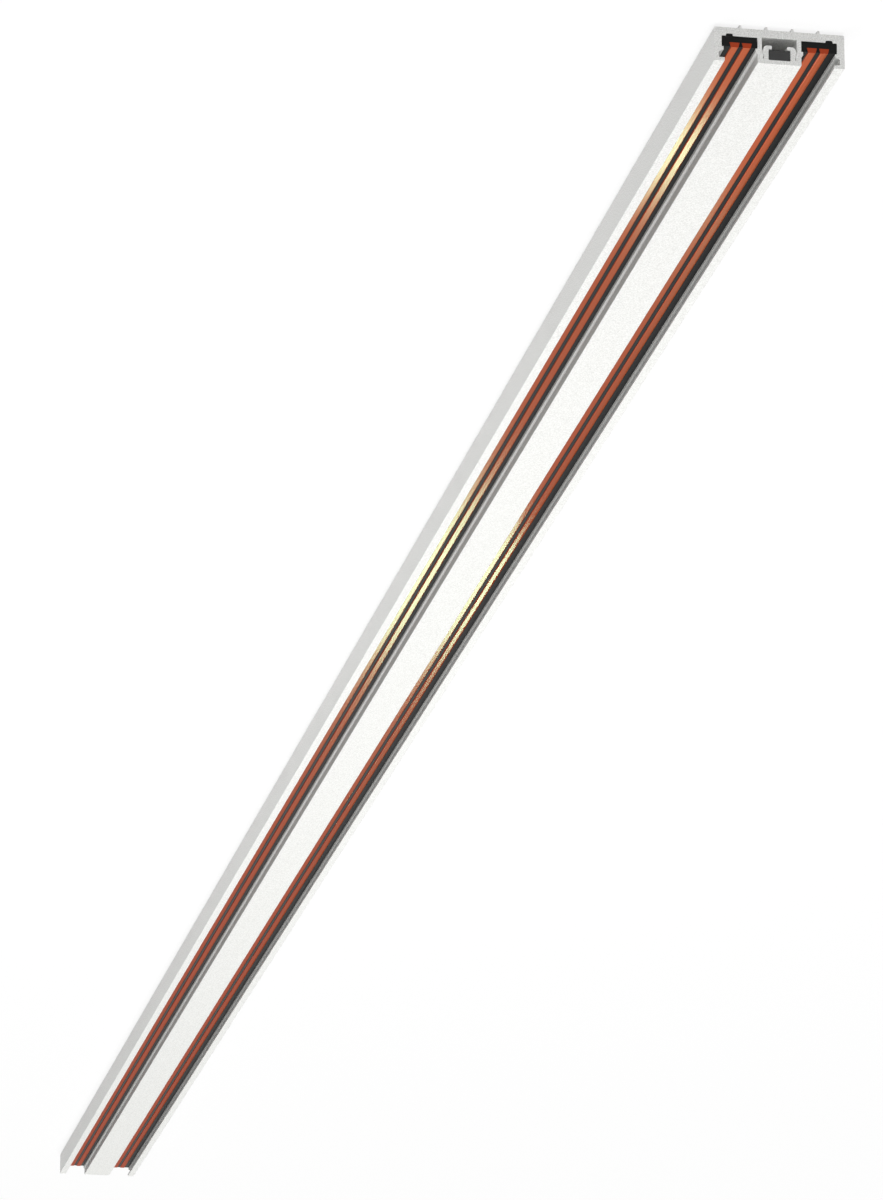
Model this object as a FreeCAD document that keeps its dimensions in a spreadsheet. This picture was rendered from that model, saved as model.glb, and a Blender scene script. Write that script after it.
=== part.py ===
import FreeCAD, Part
import os
import Sketcher

# Magnetic lighting track, a stock length lying on its back with the open side up.
# X runs along the track, Y across it and Z from the ceiling side to the open side.
# The origin is at mid length and mid width, on the plane of the rib crests.

doc = FreeCAD.newDocument("magnetic_track")

# Driving dimensions in millimetres, and one count
SIZES = {
    "track_length": 2000.0,             # stock length
    "back_thickness": 3.4,              # back plate behind the insulators
    "wall_thickness": 2.9,              # outer wall beside an insulator
    "web_thickness": 1.7,               # side wall of the central box
    "face_thickness": 1.6,              # wall that a lamp's magnet seats on
    "cavity_back_thickness": 3.0,       # back plate behind the central cavity
    "rib_count": 4,                     # crush ribs on the ceiling side
    "rib_pitch": 10.0,
    "rib_height": 1.2,
    "rib_base_width": 1.4,
    "rib_crest_width": 0.7,
    "ledge_reach": 0.7,                 # ledges that hold an insulator in its pocket
    "ledge_height": 1.3,
    "ledge_slope_height": 0.9,
    "groove_depth": 1.1,                # groove in the outer wall above the ledge
    "groove_height": 2.2,
    "lip_overhang": 1.1,                # lip of the outer wall over the channel
    "lip_height": 1.4,
    "insulator_thickness": 4.2,
    "insulator_outer_margin": 2.9,      # plastic between the outer wall and the first conductor
    "insulator_inner_margin": 2.05,     # plastic between the second conductor and the web
    "key_offset": 1.55,                 # from the insulator's outer edge to its key
    "key_base_width": 2.7,
    "key_tip_width": 2.1,
    "key_height": 0.95,
    "conductor_back_width": 3.85,       # dovetail, wide side in the plastic
    "conductor_face_width": 2.9,
    "conductor_thickness": 2.0,
    "conductor_gap": 0.85,              # between the wide sides of the two conductors
    "conductor_proud": 0.3,             # how far the copper stands out of the plastic
    "bar_width": 8.2,
    "bar_thickness": 4.0,
    "hook_stem_width": 2.4,             # at the mouth of the slit
    "hook_reach": 1.3,                  # how far a hook reaches over the bar
    "hook_thickness": 1.45,
    "hook_flank_lean": 0.9,             # how far the hook's outer side leans away from the web
    "slit_width": 0.1,                  # thin slit that lets a hook spring
    "slit_lean": 0.6,                   # how far the slit leans away from the web
    "slit_mouth_height": 0.9,           # from the underside of the hook to the slit's mouth
    "slit_foot_width": 0.45,            # the slit widens at its foot
    "slit_foot_lean": 0.35,             # and its outer side leans back towards the web
    "slit_foot_height": 1.0,
    "slit_foot_wall": 0.5,              # metal left between the slit and the face wall
    "pocket_clearance": 0.1,            # around the insulators and the bar
    "slot_clearance": 0.05,             # beside the conductors
    "hook_clearance": 0.3,              # between the bar and the hooks
    "back_corner_radius": 0.5,
    "open_edge_radius": 0.3,
    "hook_shoulder_radius": 1.4,
    "hook_tip_radius": 0.4,
    "conductor_edge_radius": 0.45,
    "bar_edge_radius": 0.2,
}

sheet = doc.addObject("Spreadsheet::Sheet", "sizes")
for row, (alias, size) in enumerate(SIZES.items(), start=1):
    sheet.set(f"A{row}", alias.replace("_", " "))
    sheet.set(f"B{row}", str(size))
    sheet.setAlias(f"B{row}", alias)
doc.recompute()


def tie(text):
    """Turn a sum of size names into an expression that reads the sheet's cells."""
    words = text.replace("(", "( ").replace(")", " )").split()
    return " ".join(f"sizes.{word}" if word in SIZES else word for word in words)


def measure(text):
    """The present value of a sum of size names, in millimetres."""
    value = sheet.evalExpression(tie(text))
    return float(getattr(value, "Value", value))


# Places across the section, worked out from the middle to the outer wall
bar_seat = "( bar_width / 2 + pocket_clearance )"
hook_outer = f"( {bar_seat} + hook_stem_width )"
hook_shoulder = f"( {hook_outer} - hook_flank_lean )"
web_inner = f"( {hook_outer} + slit_width )"
web_outer = f"( {web_inner} + web_thickness )"
insulator_inner = f"( {web_outer} + pocket_clearance )"
inner_conductor = f"( {insulator_inner} + insulator_inner_margin + conductor_back_width / 2 )"
outer_conductor = f"( {inner_conductor} + conductor_back_width + conductor_gap )"
insulator_outer = f"( {outer_conductor} + conductor_back_width / 2 + insulator_outer_margin )"
wall_inner = f"( {insulator_outer} + pocket_clearance )"
wall_outer = f"( {wall_inner} + wall_thickness )"

# Heights, worked out from the rib crests to the open side
back = "( rib_height )"
pocket_floor = f"( {back} + back_thickness )"
insulator_face = f"( {pocket_floor} + insulator_thickness )"
ledge_foot = f"( {insulator_face} + pocket_clearance )"
ledge_top = f"( {ledge_foot} + ledge_height )"
slope_top = f"( {ledge_top} + ledge_slope_height )"
lip_foot = f"( {slope_top} + groove_height )"
open_side = f"( {lip_foot} + lip_height )"
cavity_floor = f"( {back} + cavity_back_thickness )"
face_wall = f"( {open_side} - face_thickness )"
bar_back = f"( {face_wall} - bar_thickness )"
hook_foot = f"( {bar_back} - hook_clearance )"
hook_top = f"( {hook_foot} - hook_thickness )"
slot_floor = f"( {insulator_face} + conductor_proud - conductor_thickness )"
conductor_face = f"( {slot_floor} + conductor_thickness )"

# Geometry and point numbers that the sketcher uses
ORIGIN = -1
START = 1
END = 2

MATCH = 1e-4                            # millimetres within which an edge counts as the one sought


def origin_feature(body, role):
    return next(feature for feature in body.Origin.OriginFeatures if feature.Role == role)


def outline(body, name, corners):
    """A closed sketch across the track, each corner tied to the sheet by its place and height."""
    sketch = body.newObject("Sketcher::SketchObject", name)
    sketch.AttachmentSupport = [(origin_feature(body, "YZ_Plane"), "")]
    sketch.MapMode = "FlatFace"
    points = [FreeCAD.Vector(measure(across), measure(up), 0) for across, up in corners]
    for start, end in zip(points, points[1:] + points[:1]):
        sketch.addGeometry(Part.LineSegment(start, end), False)
    for index, (across, up) in enumerate(corners):
        following = (index + 1) % len(corners)
        sketch.addConstraint(Sketcher.Constraint("Coincident", index, END, following, START))
        for kind, text in (("DistanceX", across), ("DistanceY", up)):
            constraint = Sketcher.Constraint(kind, ORIGIN, START, index, START, measure(text))
            number = sketch.addConstraint(constraint)
            sketch.setExpression(f"Constraints[{number}]", tie(text))
    return sketch


def pad(body, name, sketch):
    """Extrude a sketch over the whole length, half of it each way."""
    feature = body.newObject("PartDesign::Pad", name)
    feature.Profile = sketch
    feature.Midplane = True
    feature.setExpression("Length", tie("track_length"))
    doc.recompute()
    return feature


def cut(body, name, sketch):
    """Cut a sketch through the whole length, and make sure that it took metal away."""
    before = body.Shape.Volume
    feature = body.newObject("PartDesign::Pocket", name)
    feature.Profile = sketch
    feature.Midplane = True
    feature.Type = "ThroughAll"
    doc.recompute()
    if feature.Shape.Volume >= before:
        raise RuntimeError(f"{name} cut nothing")
    return feature


def round_edges(body, name, lines, radius):
    """Round the lengthwise edges that pass through the given places of the section."""
    places = [(measure(across), measure(up)) for across, up in lines]
    base = body.Tip
    names = []
    for number, edge in enumerate(base.Shape.Edges, start=1):
        ends = [(vertex.Point.y, vertex.Point.z) for vertex in edge.Vertexes]
        for place in places:
            if len(ends) == 2 and all(abs(a - b) < MATCH for end in ends for a, b in zip(end, place)):
                names.append(f"Edge{number}")
    if len(names) != len(places):
        raise RuntimeError(f"{name} found {len(names)} of {len(places)} edges")
    feature = body.newObject("PartDesign::Fillet", name)
    feature.Base = (base, names)
    feature.setExpression("Radius", tie(radius))
    doc.recompute()
    return feature


def both_sides(places):
    """The same places on the right and on the left of the track."""
    return [(sign + across, up) for sign in ("", "-1 * ") for across, up in places]


def new_body(label):
    body = doc.addObject("PartDesign::Body", label)
    body.Label = label
    return body


def track_profile():
    """The aluminium extrusion: a blank, its ribs, the two channels and the central cavity."""
    body = new_body("track_profile")
    left_wall = f"-1 * {wall_outer}"
    blank = [(left_wall, back), (wall_outer, back), (wall_outer, open_side), (left_wall, open_side)]
    pad(body, "blank", outline(body, "blank_outline", blank))
    crush_ribs(body)
    halves = [
        cut(body, "channel", outline(body, "channel_outline", channel_corners())),
        cut(body, "cavity", outline(body, "cavity_outline", cavity_corners())),
    ]
    mirror = body.newObject("PartDesign::Mirrored", "left_half")
    mirror.Originals = halves
    mirror.MirrorPlane = (origin_feature(body, "XZ_Plane"), [""])
    body.Tip = mirror
    doc.recompute()

    lip_edge = f"( {wall_inner} - lip_overhang )"
    open_edges = [(wall_outer, open_side), (lip_edge, open_side), (web_outer, open_side)]
    hook_tip = f"( {bar_seat} - hook_reach )"
    round_edges(body, "back_corners", both_sides([(wall_outer, back)]), "back_corner_radius")
    round_edges(body, "open_edges", both_sides(open_edges), "open_edge_radius")
    round_edges(body, "hook_shoulders", both_sides([(hook_shoulder, hook_top)]), "hook_shoulder_radius")
    round_edges(body, "hook_tips", both_sides([(hook_tip, hook_top)]), "hook_tip_radius")
    return body


def crush_ribs(body):
    """Ribs that stand on the ceiling: one on the right, repeated across to the left."""
    middle = "( rib_pitch * ( rib_count - 1 ) / 2 )"
    root = f"( {back} + back_corner_radius )"
    corners = [
        (f"{middle} - rib_base_width / 2", root),
        (f"{middle} - rib_base_width / 2", back),
        (f"{middle} - rib_crest_width / 2", "0"),
        (f"{middle} + rib_crest_width / 2", "0"),
        (f"{middle} + rib_base_width / 2", back),
        (f"{middle} + rib_base_width / 2", root),
    ]
    rib = pad(body, "rib", outline(body, "rib_outline", corners))
    ribs = body.newObject("PartDesign::LinearPattern", "ribs")
    ribs.Originals = [rib]
    ribs.Direction = (origin_feature(body, "Y_Axis"), [""])
    ribs.Reversed = True
    ribs.setExpression("Length", tie("rib_pitch * ( rib_count - 1 )"))
    ribs.setExpression("Occurrences", tie("rib_count"))
    body.Tip = ribs
    doc.recompute()


def channel_corners():
    """The right-hand channel: mouth, lip, groove, ledges, insulator pocket and key groove."""
    wall_ledge = f"{wall_inner} - ledge_reach"
    web_ledge = f"{web_outer} + ledge_reach"
    groove = f"{wall_inner} + groove_depth"
    lip_edge = f"{wall_inner} - lip_overhang"
    mouth = f"{open_side} + lip_height"
    key_floor = f"{pocket_floor} - key_height"
    key_middle = f"( {insulator_outer} - key_offset - key_base_width / 2 )"
    key_base = "( key_base_width / 2 + pocket_clearance )"
    key_tip = "( key_tip_width / 2 + pocket_clearance )"
    return [
        (lip_edge, mouth),
        (lip_edge, lip_foot),
        (groove, lip_foot),
        (groove, slope_top),
        (wall_ledge, ledge_top),
        (wall_ledge, ledge_foot),
        (wall_inner, ledge_foot),
        (wall_inner, pocket_floor),
        (f"{key_middle} + {key_base}", pocket_floor),
        (f"{key_middle} + {key_tip}", key_floor),
        (f"{key_middle} - {key_tip}", key_floor),
        (f"{key_middle} - {key_base}", pocket_floor),
        (web_outer, pocket_floor),
        (web_outer, ledge_foot),
        (web_ledge, ledge_foot),
        (web_ledge, ledge_top),
        (web_outer, slope_top),
        (web_outer, mouth),
    ]


def cavity_corners():
    """The right half of the central cavity, round the hook and the slit behind it, past the middle."""
    past_middle = "-1 * hook_reach"
    hook_tip = f"{bar_seat} - hook_reach"
    slit_mouth = f"( {hook_foot} + slit_mouth_height )"
    slit_foot = f"( {face_wall} - slit_foot_wall )"
    slit_neck = f"( {slit_foot} - slit_foot_height )"
    slit_end = f"( {web_inner} - slit_lean )"
    slit_foot_outer = f"( {slit_end} + slit_foot_lean )"
    return [
        (past_middle, cavity_floor),
        (web_inner, cavity_floor),
        (web_inner, slit_mouth),
        (slit_end, slit_neck),
        (slit_foot_outer, slit_foot),
        (f"{slit_foot_outer} - slit_foot_width", slit_foot),
        (f"{slit_end} - slit_width", slit_neck),
        (hook_outer, slit_mouth),
        (hook_shoulder, hook_top),
        (hook_tip, hook_top),
        (hook_tip, hook_foot),
        (bar_seat, hook_foot),
        (bar_seat, face_wall),
        (past_middle, face_wall),
    ]


def insulator(label):
    """The right-hand plastic strip, with its key on the back and a dovetail slot for each conductor."""
    body = new_body(label)
    key_middle = f"( {insulator_outer} - key_offset - key_base_width / 2 )"
    key_floor = f"{pocket_floor} - key_height + pocket_clearance"
    corners = [
        (insulator_inner, pocket_floor),
        (f"{key_middle} - key_base_width / 2", pocket_floor),
        (f"{key_middle} - key_tip_width / 2", key_floor),
        (f"{key_middle} + key_tip_width / 2", key_floor),
        (f"{key_middle} + key_base_width / 2", pocket_floor),
        (insulator_outer, pocket_floor),
        (insulator_outer, insulator_face),
    ]
    taper = "( ( conductor_back_width - conductor_face_width ) / 2 )"
    back_half = "( conductor_back_width / 2 + slot_clearance )"
    mouth_half = f"( {back_half} - {taper} * ( 1 - conductor_proud / conductor_thickness ) )"
    for middle in (outer_conductor, inner_conductor):
        corners += [
            (f"{middle} + {mouth_half}", insulator_face),
            (f"{middle} + {back_half}", slot_floor),
            (f"{middle} - {back_half}", slot_floor),
            (f"{middle} - {mouth_half}", insulator_face),
        ]
    corners.append((insulator_inner, insulator_face))
    pad(body, f"{label}_strip", outline(body, f"{label}_outline", corners))
    return body


def conductor(label, middle):
    """A copper conductor of dovetail section, with its two exposed edges rounded."""
    body = new_body(label)
    face_edges = [
        (f"{middle} + conductor_face_width / 2", conductor_face),
        (f"{middle} - conductor_face_width / 2", conductor_face),
    ]
    back_edges = [
        (f"{middle} - conductor_back_width / 2", slot_floor),
        (f"{middle} + conductor_back_width / 2", slot_floor),
    ]
    pad(body, f"{label}_strip", outline(body, f"{label}_outline", face_edges + back_edges))
    round_edges(body, f"{label}_edges", face_edges, "conductor_edge_radius")
    return body


def steel_bar():
    """The flat bar in the central box, seated on the face wall between the hooks."""
    body = new_body("steel_bar")
    left = "-1 * bar_width / 2"
    right = "bar_width / 2"
    corners = [(left, bar_back), (right, bar_back), (right, face_wall), (left, face_wall)]
    pad(body, "bar", outline(body, "bar_outline", corners))
    round_edges(body, "bar_edges", corners, "bar_edge_radius")
    return body


# The two channels hold the same pieces: those on the left are turned end for end
TURNED = FreeCAD.Rotation(FreeCAD.Vector(0, 0, 1), 180)

pieces = [track_profile(), steel_bar()]
for side, turn in (("right", FreeCAD.Rotation()), ("left", TURNED)):
    channel_pieces = [
        insulator(f"insulator_{side}"),
        conductor(f"conductor_{side}_outer", outer_conductor),
        conductor(f"conductor_{side}_inner", inner_conductor),
    ]
    for piece in channel_pieces:
        piece.Placement = FreeCAD.Placement(FreeCAD.Vector(), turn)
    pieces += channel_pieces
doc.recompute()

for item in doc.Objects:
    if "Invalid" in item.State or "Error" in item.State:
        raise RuntimeError(f"{item.Label} failed: {item.State}")
for piece in pieces:
    if piece.Shape.isNull() or not piece.Shape.isValid():
        raise RuntimeError(f"{piece.Label} has no valid shape")

os.makedirs("parts", exist_ok=True)
for piece in pieces:
    piece.Shape.exportStep(f"parts/{piece.Label}.step")
    box = piece.Shape.BoundBox
    print(f"{piece.Label}: {len(piece.Shape.Solids)} solid, {piece.Shape.Volume / 1000:.1f} cm3,"
          f" Y {box.YMin:.2f} to {box.YMax:.2f}, Z {box.ZMin:.2f} to {box.ZMax:.2f}")
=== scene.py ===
# %% [markdown]
# A length of magnetic lighting track
#
# The track is a white aluminium extrusion with two open channels. A black plastic strip with two copper
# conductors lies in each channel, and a steel bar is boxed in between them for a lamp's magnet to pull on.
# The pieces come from the CAD frame with their true sizes. This lesson gives them soft edges and finishes,
# then sets up the light and a long-lens camera that looks along the track.

# %% Load the frame
import math

import bpy
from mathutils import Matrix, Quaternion, Vector


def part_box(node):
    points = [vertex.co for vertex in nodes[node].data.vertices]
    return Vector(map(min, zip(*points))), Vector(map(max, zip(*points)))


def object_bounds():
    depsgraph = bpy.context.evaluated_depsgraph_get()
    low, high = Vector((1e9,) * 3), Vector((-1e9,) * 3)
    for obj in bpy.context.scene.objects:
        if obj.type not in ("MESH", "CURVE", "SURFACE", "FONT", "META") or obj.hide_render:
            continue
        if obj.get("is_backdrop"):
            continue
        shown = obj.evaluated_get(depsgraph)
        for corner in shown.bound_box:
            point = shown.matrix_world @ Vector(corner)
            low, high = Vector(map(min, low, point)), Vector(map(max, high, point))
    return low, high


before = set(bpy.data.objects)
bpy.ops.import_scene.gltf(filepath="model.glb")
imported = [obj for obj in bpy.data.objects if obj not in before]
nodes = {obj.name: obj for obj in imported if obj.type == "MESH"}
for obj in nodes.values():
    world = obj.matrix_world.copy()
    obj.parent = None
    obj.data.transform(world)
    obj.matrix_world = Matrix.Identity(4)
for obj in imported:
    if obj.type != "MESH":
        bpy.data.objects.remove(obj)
cad_low, cad_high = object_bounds()
MM = 0.001
print("pieces:", ", ".join(sorted(nodes)))
print("size in mm:", [round(side / MM, 2) for side in cad_high - cad_low])

# %% [markdown]
# Soft edges
#
# No real edge is perfectly sharp: an extrusion die rounds its corners a little and a saw cut is deburred.
# The edges could be rounded by hand, but a stack of modifiers leaves the CAD mesh as it is. The frame's
# meshes arrive split at each hard edge and cut into triangles, so the stack first welds the points, then
# merges flat triangles into whole faces, and only then bevels what is still sharp.

# %% Soften the edges
WELD_DISTANCE = 0.001 * MM
FLAT_ANGLE = math.radians(0.5)
SHARP_ANGLE = math.radians(25)
BEVEL_STEPS = 2
EDGE_RADII = {
    "track_profile": 0.08 * MM,
    "insulator": 0.08 * MM,
    "conductor": 0.05 * MM,
    "steel_bar": 0.10 * MM,
}


def soften(piece, radius):
    """Round a piece's sharp edges with modifiers, and let light run smoothly over the rounding."""
    weld = piece.modifiers.new("weld", "WELD")
    weld.merge_threshold = WELD_DISTANCE
    merge = piece.modifiers.new("merge_flat", "DECIMATE")
    merge.decimate_type = "DISSOLVE"
    merge.angle_limit = FLAT_ANGLE
    bevel = piece.modifiers.new("soft_edges", "BEVEL")
    bevel.width = radius
    bevel.segments = BEVEL_STEPS
    bevel.limit_method = "ANGLE"
    bevel.angle_limit = SHARP_ANGLE
    bevel.harden_normals = True


for name, piece in nodes.items():
    radius = next(size for kind, size in EDGE_RADII.items() if name.startswith(kind))
    soften(piece, radius)
    print(f"{name}: edges rounded to {radius / MM:.2f} mm")

# %% [markdown]
# Colour and nodes
#
# Colours are picked as sRGB hex values, as in a paint program, but a renderer counts light in linear
# numbers, so one function converts them. A second small function adds any shader node: its options, its
# plain values and its links are all given in one place, which keeps each material readable.

# %% Colours
SRGB_LINEAR_END = 0.04045
SRGB_LINEAR_SLOPE = 12.92
SRGB_OFFSET = 0.055
SRGB_POWER = 2.4


def linear(hex_colour):
    """An sRGB hex colour as linear red, green, blue and alpha."""
    light = []
    for start in (1, 3, 5):
        value = int(hex_colour[start:start + 2], 16) / 255
        if value <= SRGB_LINEAR_END:
            light.append(value / SRGB_LINEAR_SLOPE)
        else:
            light.append(((value + SRGB_OFFSET) / (1 + SRGB_OFFSET)) ** SRGB_POWER)
    return light + [1.0]


print("middle grey #808080 in linear light:", round(linear("#808080")[0], 3))

# %% Nodes and materials


def add_node(tree, kind, inputs=None, **options):
    """Add a node with its options; an input is a plain value or the output that feeds it."""
    node = tree.nodes.new(kind)
    for option, value in options.items():
        setattr(node, option, value)
    for socket, value in (inputs or {}).items():
        if isinstance(value, bpy.types.NodeSocket):
            tree.links.new(value, node.inputs[socket])
        else:
            node.inputs[socket].default_value = value
    return node


def new_material(name):
    """An empty node material and its tree."""
    material = bpy.data.materials.new(name)
    material.use_nodes = True
    material.node_tree.nodes.clear()
    return material, material.node_tree


def finish_with(material, start):
    """Give a material to every piece whose name starts with this word."""
    for name, piece in nodes.items():
        if name.startswith(start):
            piece.data.materials.clear()
            piece.data.materials.append(material)
            print(f"{material.name} on {name}")


def per_metre(size):
    """The scale of a texture whose features are this many metres across."""
    return 1 / size


print(len(nodes), "pieces to finish")

# %% [markdown]
# Powder-coated aluminium
#
# The extrusion is sprayed with white polyester powder and baked. The powder melts into a matt film with a
# fine grain, like very fine sandpaper, and a slow waviness known as orange peel. Both are made with noise
# that feeds a bump, and the grain also shades the colour slightly, because the pits hold less light. The
# real grain is about a quarter of a millimetre. It is drawn twice as coarse so that it shows.
#
# The sloping ledges deep in the channels would catch too much of the light from above, so the coat's
# colour is darkened there: that is painted shade. Those faces could be given a material of their own, but
# then the mesh would have to change, so height and slope pick them out inside the one material.

# %% Painted shade on the ledges
LEDGE_OVER_PLASTIC = 1.85 * MM         # from the face of the plastic to the middle of the slopes
LEDGE_HALF_HEIGHT = 1.0 * MM
LEDGE_SLOPE = {"From Min": 0.32, "From Max": 0.90}

ledge_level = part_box("insulator_left")[1].z + LEDGE_OVER_PLASTIC


def painted_shade_on_ledges(tree, coordinates):
    """How much painted shade: almost one on the walls' ledges and half on the steeper ones of the webs."""
    height = add_node(tree, "ShaderNodeSeparateXYZ", {"Vector": coordinates["Object"]}).outputs["Z"]
    deep = add_node(tree, "ShaderNodeMath", {0: height, 1: ledge_level, 2: LEDGE_HALF_HEIGHT},
                    operation="COMPARE").outputs["Value"]
    facing = add_node(tree, "ShaderNodeSeparateXYZ", {"Vector": coordinates["Normal"]}).outputs["Z"]
    slope = add_node(tree, "ShaderNodeMapRange", {"Value": facing, **LEDGE_SLOPE}).outputs["Result"]
    return add_node(tree, "ShaderNodeMath", {0: deep, 1: slope}, operation="MULTIPLY").outputs["Value"]


print("ledges about", round(ledge_level / MM, 2), "mm above the floor")

# %% White powder coat
COAT_WHITE = "#F8F8F6"
COAT_PIT = "#DCDCD9"
LEDGE_PAINTED_SHADE = "#E2E2E2"                  # painted shade: how much of the coat's brightness the ledges keep
COAT_GRAIN = 0.5 * MM
GRAIN_SPREAD = {"From Min": 0.35, "From Max": 0.65}
GRAIN_BUMP = {"Strength": 0.5, "Distance": 0.1 * MM}
ORANGE_PEEL = 4.0 * MM
PEEL_BUMP = {"Strength": 0.08, "Distance": 0.05 * MM}
COAT_GLOSS = {"Roughness": 0.6, "IOR": 1.5}


def powder_coat():
    """A matt white film with grain, orange peel and painted shade on the ledges."""
    material, tree = new_material("white_powder_coat")
    coordinates = add_node(tree, "ShaderNodeTexCoord").outputs
    place = coordinates["Object"]
    grain = add_node(tree, "ShaderNodeTexNoise",
                     {"Vector": place, "Scale": per_metre(COAT_GRAIN), "Detail": 2.0}).outputs["Fac"]
    peel = add_node(tree, "ShaderNodeTexNoise",
                    {"Vector": place, "Scale": per_metre(ORANGE_PEEL), "Detail": 1.0}).outputs["Fac"]
    tone = add_node(tree, "ShaderNodeMapRange", {"Value": grain, **GRAIN_SPREAD}).outputs["Result"]
    full = add_node(tree, "ShaderNodeMix",
                    {"Factor": tone, "A": linear(COAT_PIT), "B": linear(COAT_WHITE)},
                    data_type="RGBA").outputs["Result"]
    # painted shade darkens the coat's colour on the ledges
    colour = add_node(tree, "ShaderNodeMix",
                      {"Factor": painted_shade_on_ledges(tree, coordinates), "A": full, "B": linear(LEDGE_PAINTED_SHADE)},
                      data_type="RGBA", blend_type="MULTIPLY").outputs["Result"]
    wave = add_node(tree, "ShaderNodeBump", {"Height": peel, **PEEL_BUMP}).outputs["Normal"]
    pits = add_node(tree, "ShaderNodeBump",
                    {"Height": grain, "Normal": wave, **GRAIN_BUMP}).outputs["Normal"]
    coat = add_node(tree, "ShaderNodeBsdfPrincipled", {"Base Color": colour, "Normal": pits, **COAT_GLOSS})
    add_node(tree, "ShaderNodeOutputMaterial", {"Surface": coat.outputs["BSDF"]})
    return material


finish_with(powder_coat(), "track_profile")

# %% [markdown]
# Copper
#
# The conductors are drawn through a die, which leaves a matt red metal with faint lines along the length.
# Copper soon grows a thin clear skin of oxide, which mirrors the lamps as long pale streaks over the red. A
# smooth metal would tint those streaks, so the metal here is rough and the oxide is a faint coat on it. The
# rounded flanks get a redder colour than the face: painted shade, for the darker things that they mirror.
# The sawn ends get a darker colour, partly for the bare sawn metal and partly as painted shade, and have no
# oxide yet. One material does all three, by the direction in which the surface faces. The real lines are a
# few hundredths of a millimetre apart, and are drawn much coarser so that they show.

# %% Drawn copper
COPPER_RED = "#A85C39"
COPPER_STREAK = "#A35735"
COPPER_GRAZING = "#C08068"             # dims the white that metal mirrors at a low angle
# painted shade: the flanks' redder tone stands for the darker things that they mirror
COPPER_FLANK_SHADE = "#AC4D32"
# partly painted shade: the sawn ends' darker tone is bare sawn metal and shade
COPPER_SAWN_AND_SHADE = "#983D25"
DRAWN_LINE = (120.0 * MM, 0.25 * MM, 0.25 * MM)
DRAWN_ROUGHNESS = 0.5
OXIDE_COVER = 0.125
OXIDE_SKIN = {"Coat Roughness": 0.06, "Coat IOR": 2.7}
FLANK_SHADE_TILT = {"From Min": 0.80, "From Max": 0.98}
SAWN_TILT = {"From Min": 0.5, "From Max": 0.9}


def drawn_copper():
    """Rough red metal, drawn lines and a clear skin; painted shade on the flanks and the bare sawn ends."""
    material, tree = new_material("drawn_copper")
    coordinates = add_node(tree, "ShaderNodeTexCoord").outputs
    stretched = add_node(tree, "ShaderNodeMapping",
                         {"Vector": coordinates["Object"], "Scale": [per_metre(d) for d in DRAWN_LINE]})
    lines = add_node(tree, "ShaderNodeTexNoise",
                     {"Vector": stretched.outputs["Vector"], "Scale": 1.0, "Detail": 3.0}).outputs["Fac"]
    drawn = add_node(tree, "ShaderNodeMix",
                     {"Factor": lines, "A": linear(COPPER_STREAK), "B": linear(COPPER_RED)},
                     data_type="RGBA").outputs["Result"]
    facing = add_node(tree, "ShaderNodeSeparateXYZ", {"Vector": coordinates["Normal"]}).outputs
    # painted shade on the rounded flanks, where the surface turns away from straight up
    face = add_node(tree, "ShaderNodeMapRange", {"Value": facing["Z"], **FLANK_SHADE_TILT}).outputs["Result"]
    skin = add_node(tree, "ShaderNodeMix",
                    {"Factor": face, "A": linear(COPPER_FLANK_SHADE), "B": drawn},
                    data_type="RGBA").outputs["Result"]
    # the sawn ends: no oxide, and a darker colour that is partly painted shade
    along = add_node(tree, "ShaderNodeMath", {0: facing["X"]}, operation="ABSOLUTE").outputs["Value"]
    sawn = add_node(tree, "ShaderNodeMapRange", {"Value": along, **SAWN_TILT}).outputs["Result"]
    colour = add_node(tree, "ShaderNodeMix",
                      {"Factor": sawn, "A": skin, "B": linear(COPPER_SAWN_AND_SHADE)},
                      data_type="RGBA").outputs["Result"]
    oxide = add_node(tree, "ShaderNodeMapRange",
                     {"Value": sawn, "To Min": OXIDE_COVER, "To Max": 0.0}).outputs["Result"]
    copper = add_node(tree, "ShaderNodeBsdfPrincipled",
                      {"Base Color": colour, "Metallic": 1.0, "Roughness": DRAWN_ROUGHNESS,
                       "Specular Tint": linear(COPPER_GRAZING), "Coat Weight": oxide, **OXIDE_SKIN})
    add_node(tree, "ShaderNodeOutputMaterial", {"Surface": copper.outputs["BSDF"]})
    return material


finish_with(drawn_copper(), "conductor")

# %% [markdown]
# Black plastic
#
# The insulators are extruded from black PVC. It is a matt plastic: seen steeply, as at the sawn end, it is
# almost black, and at a low angle the fine die lines along it catch the light and make it dark grey. Plain
# gloss would mirror the white walls of the channel instead, so there is hardly any, and that grey is a
# painted sheen: Layer Weight brings it into the colour towards a low angle. Noise stretched along the track
# gives the die lines, in the bump and in the roughness. They are drawn several times as coarse as real ones
# so that they show.

# %% Extruded black PVC
PVC_BLACK = "#252525"
PVC_PAINTED_SHEEN = "#4A4A4A"
SHEEN_SLANT = {"From Min": 0.58, "From Max": 0.80}
DIE_LINE = (300.0 * MM, 0.4 * MM, 0.4 * MM)
DIE_BUMP = {"Strength": 0.2, "Distance": 0.02 * MM}
PVC_ROUGHNESS = {"To Min": 0.38, "To Max": 0.48}
PVC_GLOSS = {"IOR": 1.53, "Specular IOR Level": 0.01}


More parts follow.
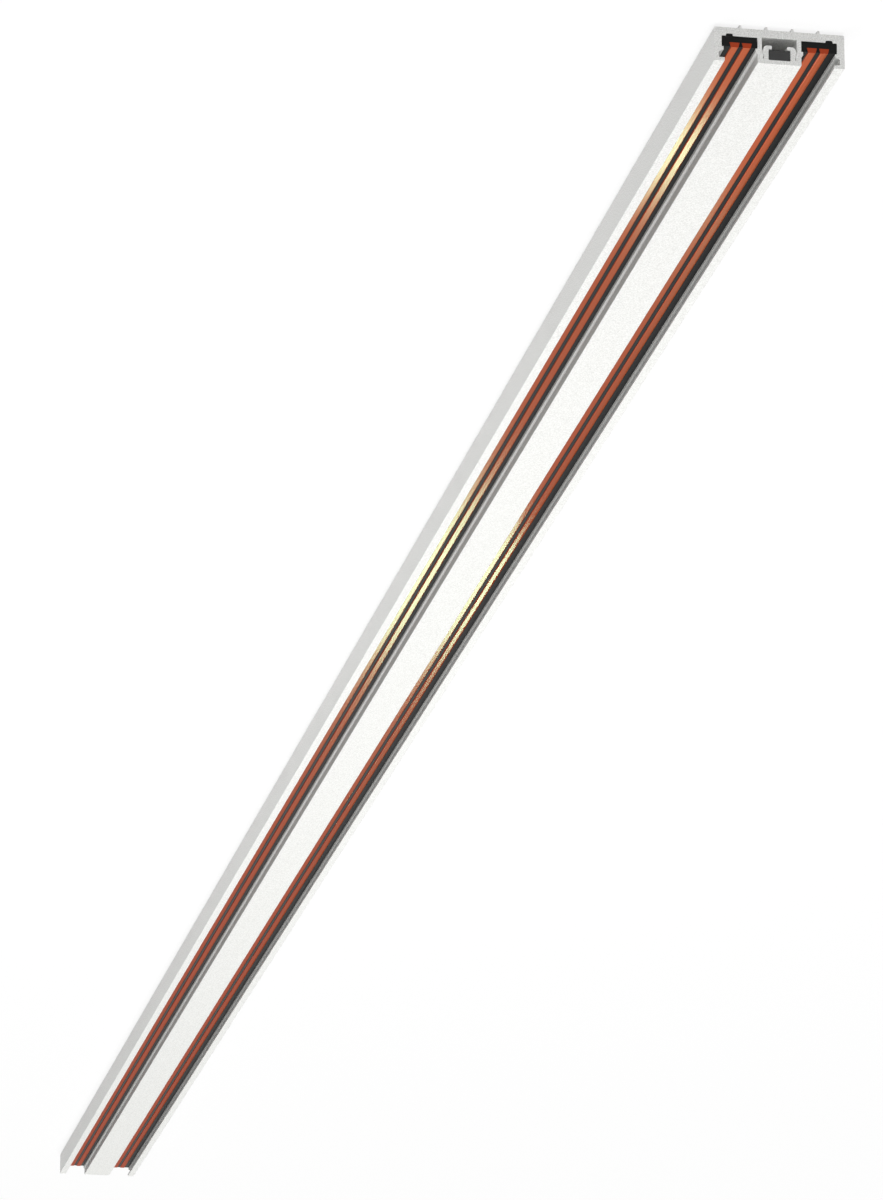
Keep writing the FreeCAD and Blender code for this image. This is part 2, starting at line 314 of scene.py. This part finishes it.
def black_pvc():
    """Black plastic with die lines and a painted grey sheen at a low angle."""
    material, tree = new_material("extruded_black_pvc")
    place = add_node(tree, "ShaderNodeTexCoord").outputs["Object"]
    stretched = add_node(tree, "ShaderNodeMapping",
                         {"Vector": place, "Scale": [per_metre(d) for d in DIE_LINE]})
    lines = add_node(tree, "ShaderNodeTexNoise",
                     {"Vector": stretched.outputs["Vector"], "Scale": 1.0, "Detail": 2.0}).outputs["Fac"]
    roughness = add_node(tree, "ShaderNodeMapRange", {"Value": lines, **PVC_ROUGHNESS}).outputs["Result"]
    bump = add_node(tree, "ShaderNodeBump", {"Height": lines, **DIE_BUMP}).outputs["Normal"]
    # painted sheen: the colour turns grey towards a low angle
    slant = add_node(tree, "ShaderNodeLayerWeight").outputs["Facing"]
    sheen = add_node(tree, "ShaderNodeMapRange", {"Value": slant, **SHEEN_SLANT}).outputs["Result"]
    colour = add_node(tree, "ShaderNodeMix",
                      {"Factor": sheen, "A": linear(PVC_BLACK), "B": linear(PVC_PAINTED_SHEEN)},
                      data_type="RGBA").outputs["Result"]
    pvc = add_node(tree, "ShaderNodeBsdfPrincipled",
                   {"Base Color": colour, "Roughness": roughness, "Normal": bump, **PVC_GLOSS})
    add_node(tree, "ShaderNodeOutputMaterial", {"Surface": pvc.outputs["BSDF"]})
    return material


finish_with(black_pvc(), "insulator")

# %% [markdown]
# Dark steel
#
# The bar is plain flat steel as it comes from the mill, with its dark grey scale left on. Mill scale is a
# thin oxide skin, so it reflects like a dull metal with soft cloudy patches. Noise with fine detail in it
# mixes a lighter and a darker grey, and varies the roughness a little.

# %% Steel with mill scale
SCALE_DARK = "#383838"
SCALE_LIGHT = "#4A4A4A"
SCALE_CLOUD = 6.0 * MM
SCALE_ROUGHNESS = {"To Min": 0.5, "To Max": 0.65}
SCALE_METALLIC = 0.8


def mill_scale():
    """A dull dark metal with cloudy patches."""
    material, tree = new_material("steel_with_mill_scale")
    place = add_node(tree, "ShaderNodeTexCoord").outputs["Object"]
    clouds = add_node(tree, "ShaderNodeTexNoise",
                      {"Vector": place, "Scale": per_metre(SCALE_CLOUD), "Detail": 4.0}).outputs["Fac"]
    colour = add_node(tree, "ShaderNodeMix",
                      {"Factor": clouds, "A": linear(SCALE_DARK), "B": linear(SCALE_LIGHT)},
                      data_type="RGBA").outputs["Result"]
    roughness = add_node(tree, "ShaderNodeMapRange", {"Value": clouds, **SCALE_ROUGHNESS}).outputs["Result"]
    steel = add_node(tree, "ShaderNodeBsdfPrincipled",
                     {"Base Color": colour, "Metallic": SCALE_METALLIC, "Roughness": roughness})
    add_node(tree, "ShaderNodeOutputMaterial", {"Surface": steel.outputs["BSDF"]})
    return material


finish_with(mill_scale(), "steel_bar")

# %% [markdown]
# Floor and background
#
# The track lies on a wide white studio floor, and the background is white too. Flooding the floor with
# light would burn out the white coat, so most of the floor's white is a glow that only the camera and
# mirror-like surfaces see. The rest is matt white paint, which takes the track's shadow. The light that the
# floor throws back at the track comes from a slightly greyer tone, which sets how bright the walls are.

# %% White floor
STUDIO_WHITE = "#FFFFFF"
FLOOR_BOUNCE = "#E4E4E4"
FLOOR_GLOW = 0.84
FLOOR_HALF_SIDE = 60.0
FLOOR_GAP = 0.02 * MM


def seen_directly(tree):
    """One where a ray comes from the camera, a mirror or glass, and nought for other light."""
    path = add_node(tree, "ShaderNodeLightPath").outputs
    mirrored = add_node(tree, "ShaderNodeMath",
                        {0: path["Is Camera Ray"], 1: path["Is Glossy Ray"]},
                        operation="MAXIMUM").outputs["Value"]
    return add_node(tree, "ShaderNodeMath", {0: mirrored, 1: path["Is Transmission Ray"]},
                    operation="MAXIMUM").outputs["Value"]


def white_floor():
    """Matt paint that takes the shadow, mixed with a white glow for rays that see the floor directly."""
    material, tree = new_material("white_floor")
    seen = seen_directly(tree)
    share = add_node(tree, "ShaderNodeMath", {0: seen, 1: FLOOR_GLOW}, operation="MULTIPLY").outputs["Value"]
    tone = add_node(tree, "ShaderNodeMix",
                    {"Factor": seen, "A": linear(FLOOR_BOUNCE), "B": linear(STUDIO_WHITE)},
                    data_type="RGBA").outputs["Result"]
    matt = add_node(tree, "ShaderNodeBsdfDiffuse", {"Color": tone}).outputs["BSDF"]
    glow = add_node(tree, "ShaderNodeEmission",
                    {"Color": linear(STUDIO_WHITE), "Strength": 1.0}).outputs["Emission"]
    floor = add_node(tree, "ShaderNodeMixShader", {"Fac": share, 1: matt, 2: glow})
    add_node(tree, "ShaderNodeOutputMaterial", {"Surface": floor.outputs["Shader"]})
    material.cycles.emission_sampling = "NONE"
    return material


corners = [(x * FLOOR_HALF_SIDE, y * FLOOR_HALF_SIDE, cad_low.z - FLOOR_GAP)
           for x, y in ((-1, -1), (1, -1), (1, 1), (-1, 1))]
floor_mesh = bpy.data.meshes.new("studio_floor")
floor_mesh.from_pydata(corners, [], [(0, 1, 2, 3)])
floor = bpy.data.objects.new("studio_floor", floor_mesh)
floor.data.materials.append(white_floor())
bpy.context.scene.collection.objects.link(floor)
floor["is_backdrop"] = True
print("floor at", round(corners[0][2] / MM, 3), "mm")

# %% [markdown]
# Light from the room
#
# White rooms light things from everywhere, so the world gives an even soft fill. Neither the world nor the
# floor's glow is sampled as a lamp, so that each kind of ray meets the level that is meant for it. Copper
# could throw red specks on the white coat, so reflected caustics are off. Every lamp gets the same share of
# rays, because the light tree would favour near lamps and leave the far softboxes below grainy.

# %% World
FILL_LEVEL = 0.30

cycles = bpy.context.scene.cycles
cycles.caustics_reflective = False
cycles.use_light_tree = False
world = bpy.data.worlds.new("white_studio")
bpy.context.scene.world = world
world.cycles.sampling_method = "NONE"
world.use_nodes = True
world.node_tree.nodes.clear()
level = add_node(world.node_tree, "ShaderNodeMapRange",
                 {"Value": seen_directly(world.node_tree), "To Min": FILL_LEVEL, "To Max": 1.0})
sky = add_node(world.node_tree, "ShaderNodeBackground",
               {"Color": linear(STUDIO_WHITE), "Strength": level.outputs["Result"]})
add_node(world.node_tree, "ShaderNodeOutputWorld", {"Surface": sky.outputs["Background"]})
print("room light at", FILL_LEVEL, "of white")

# %% [markdown]
# Key and front light
#
# Two suns stand for large lamps far away: a key almost overhead with a wide disc, which brightens the faces
# on the open side, and a weak front light that reaches into the sawn end. The outer walls stay a step
# darker than the open side, and that step is what shows the section.

# %% Suns
SUNS = {
    "key": {"level": 0.51, "disc": math.radians(30), "from": Vector((-0.10, 0.06, 1.0))},
    "front": {"level": 0.14, "disc": math.radians(12), "from": Vector((-0.90, -0.21, 0.37))},
}


def add_lamp(name, light, place, direction_from):
    """Put a lamp at a place, shining against the direction that its light comes from, unseen itself."""
    lamp = bpy.data.objects.new(name, light)
    lamp.location = place
    lamp.rotation_euler = direction_from.to_track_quat("Z", "Y").to_euler()
    lamp.visible_camera = False
    bpy.context.scene.collection.objects.link(lamp)
    print(f"{name} at", [round(v, 2) for v in place], f"with {light.energy:.2f}")


for name, sun in SUNS.items():
    light = bpy.data.lights.new(name, "SUN")
    light.energy = sun["level"] * math.pi
    light.angle = sun["disc"]
    add_lamp(name, light, sun["from"], sun["from"])

# %% [markdown]
# A lamp over the middle
#
# The real light isn't even along two metres of track: it is brightest a little nearer than the middle and
# falls off towards both ends. A square area lamp above that place, on the side of the viewer's left, adds
# this. It is small beside the room light, so the white coat stays below full white.

# %% Overhead lamp
OVERHEAD_OVER = Vector((-0.36, 0.0, 0.0))
OVERHEAD_OFFSET = Vector((0.0, -0.45, 1.25))
OVERHEAD_SIDE = 0.6
OVERHEAD_POWER = 5.5

overhead = bpy.data.lights.new("overhead", "AREA")
overhead.size = OVERHEAD_SIDE
overhead.energy = OVERHEAD_POWER
add_lamp("overhead", overhead, OVERHEAD_OVER + OVERHEAD_OFFSET, OVERHEAD_OFFSET)

# %% [markdown]
# Camera
#
# The track is shown as it hangs on a ceiling: from below, with the open side towards the viewer. Here it
# lies on its back, so the camera looks down on it from the near end and is turned upside down. The place
# and the long lens were found by matching the track's edges. So long a lens keeps the far end quite large.

# %% Long-lens camera
IMAGE_LONG_SIDE = 1200
FOCAL_PIXELS = 6242.7
SENSOR = 36.0
CAMERA_PLACE = Vector((-3107.4, -510.4, 903.0)) * MM
CAMERA_AIM = Vector((-318.6, -4.15, 14.7)) * MM
CAMERA_ROLL = math.radians(179.854)
CLIP_NEAR = 0.1
CLIP_FAR = 4 * FLOOR_HALF_SIDE         # well past the corners of the floor

camera_data = bpy.data.cameras.new("long_lens")
camera_data.sensor_width = SENSOR
camera_data.lens = FOCAL_PIXELS / IMAGE_LONG_SIDE * SENSOR
camera_data.clip_start = CLIP_NEAR
camera_data.clip_end = CLIP_FAR
camera = bpy.data.objects.new("long_lens", camera_data)
camera.location = CAMERA_PLACE
sight = CAMERA_AIM - CAMERA_PLACE
camera.rotation_mode = "QUATERNION"
camera.rotation_quaternion = Quaternion(sight, CAMERA_ROLL) @ sight.to_track_quat("-Z", "Y")
bpy.context.scene.collection.objects.link(camera)
bpy.context.scene.camera = camera
print("lens", round(camera_data.lens, 1), "mm, distance", round(sight.length, 2), "m")

# %% [markdown]
# Softboxes in the copper
#
# The oxide on the copper shows what it mirrors, so its highlights are placed as in a mirror: the softboxes
# stand low and far beyond the far end, where the copper faces reflect them to the viewer at chosen spots.
# Their size sets the length and width of each highlight. Two pale ones make the streaks. They are slightly
# green, because the red of the copper adds to them. An orange one warms the near end. They stand so far
# away that they light little else.

# %% Softboxes
SOFTBOX_REACH = 40.0
SOFTBOX_PALE = "#CEFFCE"
SOFTBOX_WARM = "#FF6200"
SOFTBOXES = {
    "softbox_near": {"seen_at": (-0.891, -0.018), "size": (0.55, 0.32), "radiance": 50.0,
                     "colour": SOFTBOX_PALE},
    "softbox_middle": {"seen_at": (-0.337, -0.031), "size": (1.73, 1.02), "radiance": 28.0,
                       "colour": SOFTBOX_PALE},
    "softbox_warm": {"seen_at": (-0.970, 0.0), "size": (2.4, 1.5), "radiance": 3.0,
                     "colour": SOFTBOX_WARM},
}

copper_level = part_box("conductor_left_inner")[1].z
for name, box in SOFTBOXES.items():
    spot = Vector((*box["seen_at"], copper_level))
    ray = (spot - CAMERA_PLACE).normalized()
    mirrored = Vector((ray.x, ray.y, -ray.z))
    light = bpy.data.lights.new(name, "AREA")
    light.shape = "RECTANGLE"
    light.size, light.size_y = box["size"]
    light.color = linear(box["colour"])[:3]
    light.energy = box["radiance"] * math.pi * light.size * light.size_y
    add_lamp(name, light, spot + mirrored * SOFTBOX_REACH, mirrored)

# %% [markdown]
# Hand over
#
# The picture uses the plain Standard view, so a colour appears about as it was picked. The last lines
# print the largest change between the box of the CAD model and that of the finished one, which should be
# small.

# %% Check the size and finish
bpy.context.scene.view_settings.view_transform = "Standard"
low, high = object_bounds()
change = max(abs(new - old) for new, old in zip((*low, *high), (*cad_low, *cad_high)))
print(f"largest change of the box: {change / MM:.4f} mm")
